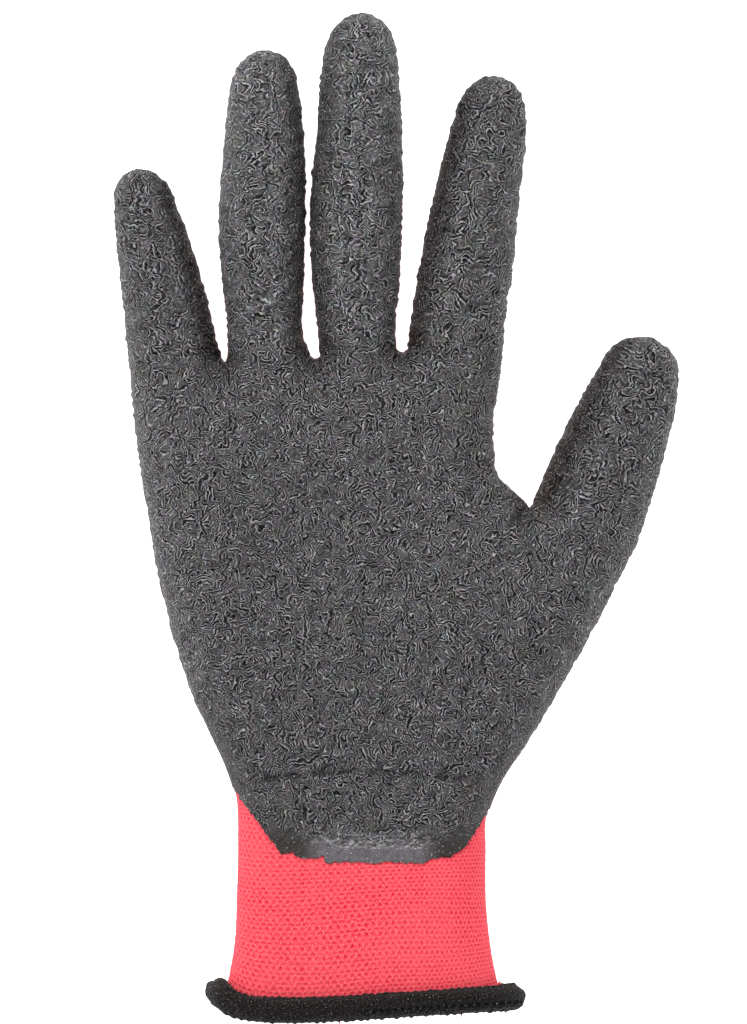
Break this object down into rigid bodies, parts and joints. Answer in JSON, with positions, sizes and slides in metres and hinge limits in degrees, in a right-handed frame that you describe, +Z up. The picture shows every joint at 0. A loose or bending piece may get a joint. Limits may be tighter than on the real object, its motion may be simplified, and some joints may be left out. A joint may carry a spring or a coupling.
{
  "type": "nitrile coated work glove",
  "caption": "Right-hand knitted work glove with a crinkled rubber coating over palm and fingers, an elastic knit wrist and an overlocked hem. It lies palm up.",
  "frame": {"origin": "under the middle of the glove's bounding box, on the surface that it lies on", "axes": "+Y towards the fingertips, +X towards the thumb, +Z up, out of the palm"},
  "size_m": [0.1402, 0.2506, 0.0238],
  "materials": {
    "knit": "seamless knit of coral red yarn",
    "coating": "crinkled dark grey rubber, half matt",
    "hem": "thick roll of black overlock yarn"
  },
  "bodies": {
    "root": {"knit_liner": "knit", "palm_coating": "coating", "overlock_hem": "hem"}
  },
  "joints": []
}
